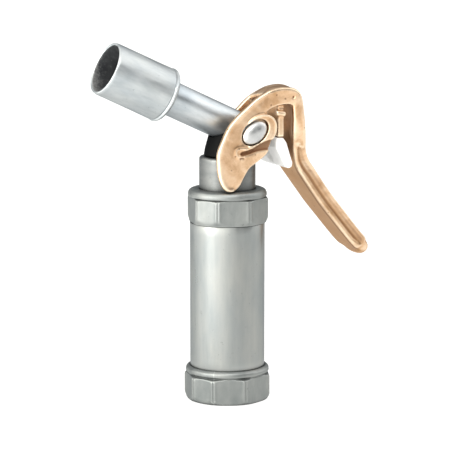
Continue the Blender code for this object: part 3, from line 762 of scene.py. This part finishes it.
# ---- lever ----
NEAR_CHEEK = [
    (-17.4, 157.0), (-17.2, 163.2), (-14.2, 171.2), (-9.8, 179.5), (-4.0, 185.8),
    (2.9, 191.5), (9.7, 196.8), (17.6, 201.0), (24.0, 202.8), (31.1, 203.0),
    (37.0, 201.9), (41.0, 198.6), (42.6, 193.5), (43.9, 184.0), (45.4, 174.0), (46.8, 164.0),
    (43.0, 163.0), (39.3, 168.0), (37.4, 175.4), (36.9, 185.0), (36.4, 190.4), (34.4, 192.0), (29.5, 192.1),
    (24.4, 191.4), (20.0, 189.8), (16.8, 187.2),
    (20.6, 184.6), (23.4, 180.0), (24.2, 174.5), (22.0, 170.6), (20.0, 165.6), (17.1, 161.1), (13.0, 157.9),
    (9.0, 155.3), (4.9, 152.4), (1.2, 146.9), (-2.1, 141.3), (-6.2, 138.5), (-10.2, 138.6),
    (-13.2, 140.9), (-15.4, 144.9), (-16.8, 150.4),
]
BEAD_END = 16
BEAD_START = 38
FAR_CHEEK = [
    (1.0, 179.0), (6.6, 183.0), (12.0, 184.4), (15.7, 186.2), (20.3, 190.4), (24.2, 193.5),
    (29.8, 196.4), (35.6, 198.9), (41.2, 200.0), (45.4, 199.0), (47.4, 193.0), (46.5, 182.0),
    (39.5, 181.5), (34.5, 189.5), (26.0, 186.0), (18.5, 175.5), (15.5, 169.5), (9.0, 167.0),
    (3.0, 169.2),
]
OUTER = [
    (18.4, 200.6), (24.0, 202.3), (31.1, 202.6), (36.8, 201.6), (40.7, 198.4),
    (42.5, 193.2), (43.9, 184.0), (45.6, 174.0), (47.9, 163.7), (51.6, 155.3), (58.0, 147.4), (64.2, 138.7),
    (71.2, 129.4), (79.1, 119.9), (86.6, 110.9), (92.6, 103.9), (97.0, 99.2), (99.4, 96.4),
]
THICKNESS = [3.4, 3.6, 3.8, 4.6, 5.6, 6.2, 7.0, 8.1, 9.3, 10.2, 10.5, 10.5, 10.5, 10.4, 10.3, 10.2, 10.0, 9.6]
# end of the handle: its rounding seen from the side, and from above
TIP_LENGTH = 6.5
TONGUE_LENGTH = 10.0
TONGUE_HALF = 13.0
TONGUE_MIDDLE = 1.0
TONGUE_END = 0.9
TONGUE_HEADING = (0.66, -0.75)
TIP_SOFTNESS = 6.0
STRAP_EDGE = 1.7
# groove along the sides of the handle, and the fine line scored in it
GROOVE_PLACE = 0.52
GROOVE_DEPTH = 1.2
GROOVE_FLATNESS = 0.42
SCORE_SHIFT = 0.7
SCORE_SIZE = 0.62
# rib between the cheeks, under the hood
RIB_X = 28.75
RIB_HALF = 2.15
RIB_FOOT = 171.4
# where the sides of the casting lie, from the tip of the handle up to the hood
LEVER_SIDE = -22.6
SIDE_HEIGHTS = [84, 104, 147, 155, 163.5, 174, 182, 193, 207]
SIDE_NEAR = [-12, -12, -12.5, -14.4, -17.4, -21.0, -22.4, LEVER_SIDE, LEVER_SIDE]
SIDE_FAR = [14, 14, 14.1, 14.6, 15.4, 16.8, 18.0, 19.0, 19.6]
# cheeks and the bead round the near one
CHEEK_FRONT = -22.25
CHEEK_BACK = -18.9
BEAD_SIZE = 1.15
FAR_CHEEK_Y = 19.0
FAR_CHEEK_HALF = 1.7
# oval boss round the spindle's head, the lip and the slot under it
BOSS_PLACE = (12.0, 175.9)
BOSS_HALVES = (12.6, 10.0)
RING_HALVES = (12.0, 9.4)
SOCKET_PLACE = (8.7, 175.6)
SOCKET_HALVES = (10.2, 7.2)
LIP = [(17.5, 166.7), (11.0, 165.6), (5.0, 164.9), (-1.0, 165.7), (-4.6, 164.9), (-4.6, 161.8),
       (-2.0, 159.7), (0.6, 159.6)]
SLOT = [(-0.6, 162.2), (4.5, 163.2), (10.0, 165.2), (16.0, 166.8), (22.0, 167.2), (27.0, 166.8)]
SLOT_DEPTH_Y = -20.3
# holes
SPINDLE_HOLE = 3.3
SCREW_HOLE = 1.9
SCREW_X = 28.8


def strap_profile():
    """Side outline of hood and handle at the near edge, and the line its groove follows."""
    outer = smooth_outline(OUTER, 4, closed=False)
    thick = np.interp(np.linspace(0, len(OUTER) - 1, len(outer)), range(len(THICKNESS)), THICKNESS)
    along = np.gradient(outer, axis=0)
    along /= np.linalg.norm(along, axis=1)[:, None]
    inward = np.stack([along[:, 1], -along[:, 0]], axis=1)
    inner = outer + inward * thick[:, None]
    middle = outer + inward * thick[:, None] * GROOVE_PLACE
    half = thick[-1] / 2
    turn = np.linspace(0, math.pi, 26)[1:-1]
    sideways = half * (1.0 - np.sign(np.cos(turn)) * np.abs(np.cos(turn)) ** 0.8)
    forwards = TIP_LENGTH * np.sin(turn) ** 0.8
    tip = outer[-1] + sideways[:, None] * inward[-1] + forwards[:, None] * along[-1]
    return np.concatenate([outer, tip, inner[::-1]]), middle, inward


def between_cells(values, at_x, at_z):
    """Values of a flat grid between its points; places are in cells."""
    at_x = np.clip(at_x, 0, values.shape[0] - 1.001)
    at_z = np.clip(at_z, 0, values.shape[1] - 1.001)
    cell_x = at_x.astype(np.int32)
    cell_z = at_z.astype(np.int32)
    part_x = at_x - cell_x
    part_z = at_z - cell_z
    return (values[cell_x, cell_z] * (1 - part_x) * (1 - part_z)
            + values[cell_x + 1, cell_z] * part_x * (1 - part_z)
            + values[cell_x, cell_z + 1] * (1 - part_x) * part_z
            + values[cell_x + 1, cell_z + 1] * part_x * part_z)


def lever_field(step):
    """The lever's solid, its grid, and where painted shade lies on it."""
    axes, x, y, z = grid((-20.5, -26.0, 84.0), (102.5, 24.0, 207.0), step)
    flat_x, flat_z = x[:, 0, :], z[:, 0, :]
    flat_x, flat_z = np.broadcast_arrays(flat_x, flat_z)
    side_near = np.interp(z, SIDE_HEIGHTS, SIDE_NEAR)
    side_far = np.interp(z, SIDE_HEIGHTS, SIDE_FAR)
    past_root = x * TONGUE_HEADING[0] + z * TONGUE_HEADING[1] - TONGUE_END + TONGUE_LENGTH
    # the handle's end is a tongue, rounded from side to side
    tongue = np.hypot((y - TONGUE_MIDDLE) / TONGUE_HALF, np.maximum(past_root, 0) / TONGUE_LENGTH)
    tongue = (tongue - 1.0) * TONGUE_LENGTH + 1.5 * np.minimum(past_root, 0)
    # near cheek: a plate that follows the handle inwards where it runs down into it
    near_outline = smooth_outline(NEAR_CHEEK)
    near = line_distance(near_outline, flat_x, flat_z, True)[:, None, :]
    follow = np.clip((x - 27.0) / 9.0, 0, 1)
    plate_y = y - (side_near - LEVER_SIDE) * follow
    crown = 0.10 * np.clip(-near, 0, 3.5) + 0.03 * np.clip(-near - 3.5, 0, 6)
    field = slab(near, np.maximum(CHEEK_FRONT - crown - plate_y, plate_y - CHEEK_BACK), 0.8)
    rim_line = np.concatenate([near_outline[BEAD_START * 4:], near_outline[:BEAD_END * 4 + 1]])
    rim = line_distance(rim_line, flat_x, flat_z)[:, None, :]
    bead = np.maximum(np.hypot(near + BEAD_SIZE, plate_y + 22.0) - BEAD_SIZE, rim - 4.0)
    field = soft_join(field, bead, 0.8)
    # far cheek
    far = line_distance(smooth_outline(FAR_CHEEK), flat_x, flat_z, True)[:, None, :]
    field = soft_join(field, slab(far, np.abs(y - FAR_CHEEK_Y) - FAR_CHEEK_HALF, 0.7), 1.2)
    # strap: the side outline slides back and down towards the far side over the hood
    across = np.clip((y + 20.0) / 39.5, 0, 1)
    slide_top = np.interp(x, [16.6, 24, 30.5, 37.5, 43, 46.4], [6.9, 6.4, 6.5, 6.4, 6.2, 5.7])
    slide_back = np.interp(z, [146, 155, 163, 174, 182, 193], [0, 1.2, 2.0, 2.9, 4.2, 5.4])
    blend = np.clip((44.0 - x) / 5.0, 0, 1) * np.clip((z - 180.0) / 6.0, 0, 1)
    slide_x = slide_top * blend + slide_back * (1 - blend)
    slide_z = np.interp(x, [16.6, 24, 30, 35.6, 41.2, 46.4, 50, 57],
                        [-7.6, -6.6, -5.5, -3.4, -1.8, -1.0, -0.7, 0])
    hood_crown = np.interp(x, [18, 30, 42, 50], [0.0, 2.2, 2.2, 0.0]) * 4.0 * across * (1.0 - across)
    outline, middle, inward = strap_profile()
    profile = line_distance(outline, flat_x, flat_z, True)
    groove = line_distance(middle[24:-3], flat_x, flat_z)
    score = line_distance((middle + inward * SCORE_SHIFT)[26:-5], flat_x, flat_z)[:, None, :]
    at_x = (x - slide_x * across - axes[0][0]) / step
    at_z = (z - slide_z * across - hood_crown - axes[2][0]) / step
    swept = between_cells(profile, at_x, at_z)
    width = np.maximum(side_near - y, y - side_far)
    strap = slab(-soft_join(-swept, -tongue, TIP_SOFTNESS), width, STRAP_EDGE)
    field = soft_join(field, strap, 2.0)
    # the handle's sides are grooved between two beads
    depth = np.interp(z, [94, 100, 150, 160, 168], [0.0, GROOVE_DEPTH, GROOVE_DEPTH, 0.7, 0.0])
    channel = groove[:, None, :] * GROOVE_FLATNESS
    near_groove = np.hypot(channel, (y - side_near) * 2.0) - depth
    far_groove = np.hypot(channel, (y - side_far) * 2.0) - depth
    field = soft_cut(field, np.minimum(near_groove, far_groove), 0.8)
    off_side = np.minimum(np.abs(y - side_near - 0.5), np.abs(side_far - 0.5 - y))
    score = np.hypot(score, off_side) - SCORE_SIZE * depth
    field = soft_cut(field, score, 0.3)
    # rib that carries the rocker, and the small lug at its head
    under_hood = z - 199.5 + 0.19 * (y + 19.0)
    rib = np.maximum(np.maximum(np.abs(x - RIB_X) - RIB_HALF, np.abs(y + 0.75) - 18.65),
                     np.maximum(RIB_FOOT - z, under_hood))
    field = soft_join(field, rib, 1.4)
    lug = np.maximum(np.hypot(y + 19.4, z - 186.6 + 0.12 * (x - 27.0)) - 1.9, np.abs(x - 28.2) - 3.3)
    field = soft_join(field, lug, 1.0)
    # oval boss with its recess, and the slot under it
    turn = math.radians(HEAD_TURN)

    def oval(centre, halves):
        u = (x - centre[0]) * math.cos(turn) + (z - centre[1]) * math.sin(turn)
        v = -(x - centre[0]) * math.sin(turn) + (z - centre[1]) * math.cos(turn)
        reach = np.sqrt((u / halves[0]) ** 2 + (v / halves[1]) ** 2)
        return (reach - 1.0) * halves[1] * (1.0 + 0.25 * np.abs(u) / halves[0])

    boss = slab(oval(BOSS_PLACE, BOSS_HALVES), np.abs(y + 21.0) - 2.4, 0.9)
    field = soft_join(field, boss, 0.6)
    ring = np.hypot(oval(BOSS_PLACE, RING_HALVES), y + 23.4) - 0.75
    field = soft_join(field, np.maximum(ring, 4.0 - x), 0.5)
    lip = line_distance(smooth_outline(LIP, 4, closed=False), flat_x, flat_z)[:, None, :]
    field = soft_join(field, np.hypot(lip, y + 22.5) - 1.1, 0.8)
    slot = line_distance(smooth_outline(SLOT, 4, closed=False), flat_x, flat_z)[:, None, :]
    slot_half = np.interp(x, [0, 8, 13, 18, 24], [1.1, 1.4, 2.1, 2.9, 3.3])
    slot = np.maximum(np.hypot(slot, (y + 23.4) * 0.35) - slot_half, y - SLOT_DEPTH_Y)
    field = soft_cut(field, slot, 0.35)
    field = soft_cut(field, np.maximum(oval(SOCKET_PLACE, SOCKET_HALVES), y + 10.0), 0.5)
    dimple = np.sqrt((x - 36.0) ** 2 + (y + 22.9) ** 2 + (z - 196.8) ** 2) - 1.0
    dash = np.hypot(np.hypot(np.maximum(np.abs(x + 0.7) - 1.3, 0), z - 159.4), y + 22.9) - 0.7
    field = soft_cut(field, np.minimum(dimple, dash), 0.3)
    far_hole = np.maximum(np.hypot(x - PIVOT_X, z - PIVOT_Z) - SPINDLE_HOLE, 10.0 - y)
    screw_hole = np.maximum(np.hypot(x - SCREW_X, y) - SCREW_HOLE, z - 180.0)
    # painted shade, brown: in the slot, the grooves, under the hood, on the outer and inner faces of the
    # handle and in the crease by its near bead
    stain_and_shade = np.clip(0.95 - slot / 0.8, 0, 1)
    stain_and_shade = np.maximum(stain_and_shade, 0.85 * np.clip(1.0 - score / 0.6, 0, 1)
                       * np.clip(depth / GROOVE_DEPTH, 0, 1))
    under = np.minimum(np.minimum(y + 18.6, 17.4 - y) / 1.5, np.minimum(x - 16.0, (z - 184.5) / 2.0))
    stain_and_shade = np.maximum(stain_and_shade, 0.9 * np.clip(under, 0, 1) * np.clip((-swept - 1.0) / 1.2, 0, 1))
    count = len(middle)
    on_handle = np.clip((x - 38.0) / 6.0, 0, 1)
    for edge_line, amount in ((outline[:count], 0.50), (outline[-count:], 0.46)):
        face = np.clip(1.2 - line_distance(edge_line, flat_x, flat_z)[:, None, :] / 1.6, 0, 1) * on_handle
        stain_and_shade = np.maximum(stain_and_shade, amount * face * np.clip((y - side_near - 1.4) / 1.0, 0, 1))
        crease_shade = np.clip(1.6 - np.abs(y - side_near - 2.8) / 1.1, 0, 1)
        stain_and_shade = np.maximum(stain_and_shade, 0.95 * face * crease_shade)
    return np.maximum(field, -np.minimum(far_hole, screw_hole)), axes, np.broadcast_to(stain_and_shade, field.shape)


LEVER_STEP = 0.6
lever_shape, lever_axes, lever_shade = lever_field(LEVER_STEP)
cast_piece("lever_casting", lever_shape, lever_axes, LEVER_STEP, "bronze", "lever", ["lever"],
           stain_and_shade=lever_shade)


# ---- head: the dark post on the neck, its saddle under the tube and the spindle ears ----
POST_FOOT = 158.8
POST_TOP = 175.0
SPIGOT_RADIUS = 8.3
SPIGOT_FOOT = 151.0
SPIGOT_TOP = 160.0
RING_GROOVE_Z = 154.4
RING_GROOVE_HALF = 1.0
RING_GROOVE_FLOOR = 6.75
EAR_RADIUS = 6.6
EAR_NEAR = -17.4
EAR_FAR = 16.4
SADDLE_RADIUS = 11.4
ROD_BORE = 5.5
SPINDLE_BORE = 5.0


def head_field(step):
    axes, x, y, z = grid((-17.0, -19.5, 149.0), (19.0, 18.5, 184.0), step)
    radius = np.hypot(x, y)
    post_side = np.interp(z, [POST_FOOT, 159.4, 164.0, 168.0, 172.0, POST_TOP],
                          [14.9, 15.2, 14.4, 13.3, 12.2, 11.4])
    field = np.maximum(radius - post_side, np.maximum(POST_FOOT - z, z - POST_TOP))
    spigot = np.maximum(radius - SPIGOT_RADIUS, np.maximum(SPIGOT_FOOT - z, z - SPIGOT_TOP))
    groove = np.maximum(np.abs(z - RING_GROOVE_Z) - RING_GROOVE_HALF, RING_GROOVE_FLOOR - radius)
    field = soft_join(field, np.maximum(spigot, -groove), 0.3)
    off_pivot = np.hypot(x - PIVOT_X, z - PIVOT_Z)
    ears = np.maximum(off_pivot - EAR_RADIUS, np.maximum(EAR_NEAR - y, y - EAR_FAR))
    field = soft_join(field, ears, 1.5)
    rib = np.maximum(np.maximum(np.abs(x - PIVOT_X) - EAR_RADIUS + 0.3,
                                np.maximum(EAR_NEAR + 0.1 - y, y - EAR_FAR + 0.1)),
                     np.maximum(SPIGOT_TOP - z, z - PIVOT_Z))
    field = soft_join(field, rib, 1.5)
    tilt = math.radians(SPOUT_TILT)
    off_axis = np.hypot(x * math.sin(tilt) + (z - SPOUT_CENTRE_Z) * math.cos(tilt), y)
    bores = np.minimum(np.minimum(off_axis - SADDLE_RADIUS, radius - ROD_BORE), off_pivot - SPINDLE_BORE)
    return np.maximum(field, -bores), axes


HEAD_STEP = 0.55
head_shape, head_axes = head_field(HEAD_STEP)
cast_piece("head_casting", head_shape, head_axes, HEAD_STEP, "dark", "body", ["head"], 2)


# ---- rocker ----
ROCKER = [
    (26.2, 170.7), (31.0, 170.5), (33.4, 167.2), (36.2, 158.5), (37.8, 153.9),
    (37.1, 151.2), (34.9, 150.4), (32.4, 152.2), (25.7, 164.4),
]
ROCKER_MIDDLE_Y = -0.8
ROCKER_HALF = 17.7
SCREW_SHANK = 2.0
SCREW_HEAD = 3.4
SCREW_SEAT = 165.4


def rocker_field(step):
    axes, x, y, z = grid((23.5, -20.5, 148.0), (40.0, 19.0, 173.0), step)
    flat_x, flat_z = np.broadcast_arrays(x[:, 0, :], z[:, 0, :])
    flat = line_distance(np.array(ROCKER, float), flat_x, flat_z, True)[:, None, :]
    field = slab(flat, np.abs(y - ROCKER_MIDDLE_Y) - ROCKER_HALF, 0.9)
    off_screw = np.hypot(x - SCREW_X, y)
    hole = np.minimum(off_screw - SCREW_SHANK, np.maximum(off_screw - SCREW_HEAD, z - SCREW_SEAT))
    return soft_cut(field, hole, 0.3), axes


ROCKER_STEP = 0.4
rocker_shape, rocker_axes = rocker_field(ROCKER_STEP)
cast_piece("rocker_block", rocker_shape, rocker_axes, ROCKER_STEP, "acetal", "lever", ["rocker"], 2)

# ---- spindle ends ----
DOME_STEPS = 14
DOME_FOOT = -22.4
DOME_RISE = 3.2
DOME_HALVES = (9.3, 6.3)
dome = rounded([(0.0, CHEEK_BACK), (1.0, CHEEK_BACK), (1.0, DOME_FOOT)], 0.05, 2)
for step in range(1, DOME_STEPS + 1):
    swing = math.pi / 2 * step / DOME_STEPS
    dome.append((math.cos(swing), DOME_FOOT - DOME_RISE * math.sin(swing)))
lathe("pin_dome", dome, "pin", "lever", ["pivot_pin"], PIN_FRAME, 96, closed=False, squash=DOME_HALVES)
lathe("pin_shaft", [(0.0, 26.6), (2.4, 26.6), (3.0, 26.0), (3.0, -18.8), (0.0, -18.8)], "steel", "lever",
      (), PIVOT, 64, closed=False, sharp=30.0)

# ---- valve spring: a finely wound coil ----
COIL_RADIUS = 7.6
WIRE_RADIUS = 0.9
COIL_TURNS = 4.5
COIL_BOTTOM = 137.7
COIL_TOP = 146.1
COIL_STEPS = 162
WIRE_SIDES = 12
coil_points = []
for step in range(COIL_STEPS + 1):
    winding = math.tau * COIL_TURNS * step / COIL_STEPS
    level = COIL_BOTTOM + (COIL_TOP - COIL_BOTTOM) * step / COIL_STEPS
    for side in range(WIRE_SIDES):
        swing = math.tau * side / WIRE_SIDES
        reach = COIL_RADIUS + WIRE_RADIUS * math.cos(swing)
        coil_points.append((reach * math.cos(winding), reach * math.sin(winding),
                            level + WIRE_RADIUS * math.sin(swing)))
coil_faces = [tuple(range(WIRE_SIDES)),
              tuple(COIL_STEPS * WIRE_SIDES + side for side in reversed(range(WIRE_SIDES)))]
for step in range(COIL_STEPS):
    for side in range(WIRE_SIDES):
        after = (side + 1) % WIRE_SIDES
        coil_faces.append((step * WIRE_SIDES + side, step * WIRE_SIDES + after,
                           (step + 1) * WIRE_SIDES + after, (step + 1) * WIRE_SIDES + side))
coil = publish("spring_coil", coil_points, coil_faces, "steel", "body", ["valve_spring"])
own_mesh(coil)

# ---- the small CAD pieces keep their shape and take a finish ----
CARRIED = {
    "rubber": ["inlet_gasket", "body_gasket", "seat_oring", "poppet_seal", "head_oring", "bell_oring",
               "spindle_oring_near", "spindle_oring_far"],
    "brass": ["strainer_ring", "valve_seat", "poppet", "spring_guide", "bushing_near", "bushing_far",
              "crank_arm"],
    "steel": ["strainer_screen", "valve_rod", "poppet_nut", "lift_collar", "crank_screw",
              "rear_plug", "pin_washer", "pin_nut", "rocker_screw"],
}
for look, names in CARRIED.items():
    for name in names:
        node = nodes[name]
        for index in range(len(node.material_slots)):
            node.material_slots[index].material = looks[look]

# ---- floor, light ----
def heading(degrees_right, height):
    """Direction at an angle to the right of the camera's own side, as seen from the object."""
    angle = math.radians(degrees_right)
    level = Vector((back.x, back.y, 0)).normalized()
    flat = level * math.cos(angle) + right * math.sin(angle)
    return Vector((flat.x, flat.y, height))


FLOOR_HALF = 14.0
FLOOR_DROP = -0.0004
FLOOR_GLOW = 0.80
LIT_SIDE_GLOW = 1.2
floor_mesh = bpy.data.meshes.new("floor")
floor_corners = [(side * FLOOR_HALF, end * FLOOR_HALF, FLOOR_DROP)
                 for side, end in ((-1, -1), (1, -1), (1, 1), (-1, 1))]
floor_mesh.from_pydata(floor_corners, [], [(0, 1, 2, 3)])
floor = bpy.data.objects.new("floor", floor_mesh)
bpy.context.scene.collection.objects.link(floor)
floor_look = Nodes("floor", 0.0, 0.95)
floor_look.shader.inputs["Specular IOR Level"].default_value = 0.0
paper = floor_look.ramp(floor_look.noise(3.0), [(0.3, (0.34, 0.34, 0.338)), (0.7, (0.36, 0.36, 0.358))])
floor_look.drive("Base Color", paper)
floor_look.shader.inputs["Emission Color"].default_value = (1.0, 1.0, 0.985, 1.0)
# painted light: the floor glows more towards the lit side, and that extra glow fades out near the object
lit_side = floor_look.vector("DOT_PRODUCT", floor_look.vector("NORMALIZE", floor_look.place),
                             heading(-50, 0.0))
away = floor_look.span(floor_look.vector("LENGTH", floor_look.place), 0.0, 1.0, 0.10, 0.36)
glow = floor_look.span(lit_side, 0.0, LIT_SIDE_GLOW, 0.35, 0.97)
glow = floor_look.math("ADD", floor_look.math("MULTIPLY", glow, away), FLOOR_GLOW)
floor_look.drive("Emission Strength", glow)
floor_mesh.materials.append(floor_look.material)

world = bpy.data.worlds.new("studio")
bpy.context.scene.world = world
world.use_nodes = True
tree = world.node_tree
background = tree.nodes["Background"]
background.inputs["Strength"].default_value = 1.0
coordinates = tree.nodes.new("ShaderNodeTexCoord")


def lobe(direction, low, high):
    """1 towards a direction, 0 away from it, with a soft edge between two cosines."""
    dot = tree.nodes.new("ShaderNodeVectorMath")
    dot.operation = "DOT_PRODUCT"
    dot.inputs[1].default_value = direction.normalized()
    tree.links.new(coordinates.outputs["Generated"], dot.inputs[0])
    edge = tree.nodes.new("ShaderNodeMapRange")
    edge.interpolation_type = "SMOOTHSTEP"
    edge.inputs["From Min"].default_value = low
    edge.inputs["From Max"].default_value = high
    tree.links.new(dot.outputs["Value"], edge.inputs["Value"])
    return edge.outputs["Result"]


def tint(factor, first, second):
    node = tree.nodes.new("ShaderNodeMix")
    node.data_type = "RGBA"
    for value, index in ((factor, 0), (first, 6), (second, 7)):
        feed(tree, value, node.inputs[index])
    return node.outputs[2]


# where each part of the studio lies (degrees to the right, height), its two cosines and its colour
STUDIO = [
    (180, 0.45, 0.60, 0.96, (0.44, 0.46, 0.48)),
    (52, -0.10, 0.66, 0.97, (0.05, 0.06, 0.07)),
    (105, 0.62, 0.78, 0.98, (2.0, 2.0, 2.0)),
    (-50, 0.10, 0.34, 0.97, (3.2, 3.15, 3.0)),
    (-150, 0.0, 0.70, 0.95, (0.35, 0.36, 0.38)),
]
sky = tint(lobe(heading(0, 1.0), -0.2, 0.9), (0.75, 0.76, 0.78), (1.0, 1.0, 1.0))
for degrees_right, height, low, high, colour in STUDIO:
    sky = tint(lobe(heading(degrees_right, height), low, high), sky, colour)
tree.links.new(sky, background.inputs["Color"])


LIGHT_AIM = 0.13


def area_light(name, direction, distance, size, power):
    data = bpy.data.lights.new(name, "AREA")
    data.energy = power
    data.shape = "RECTANGLE"
    data.size, data.size_y = size
    lamp = bpy.data.objects.new(name, data)
    bpy.context.scene.collection.objects.link(lamp)
    direction = direction.normalized()
    lamp.location = Vector((0, 0, LIGHT_AIM)) + direction * distance
    lamp.rotation_euler = direction.to_track_quat("Z", "Y").to_euler()


area_light("key", heading(10, 1.1), 1.3, (0.8, 0.6), 6.0)
area_light("stripe", heading(-52, 0.06), 1.1, (0.45, 0.8), 4.5)
bpy.context.scene.view_settings.view_transform = "Standard"
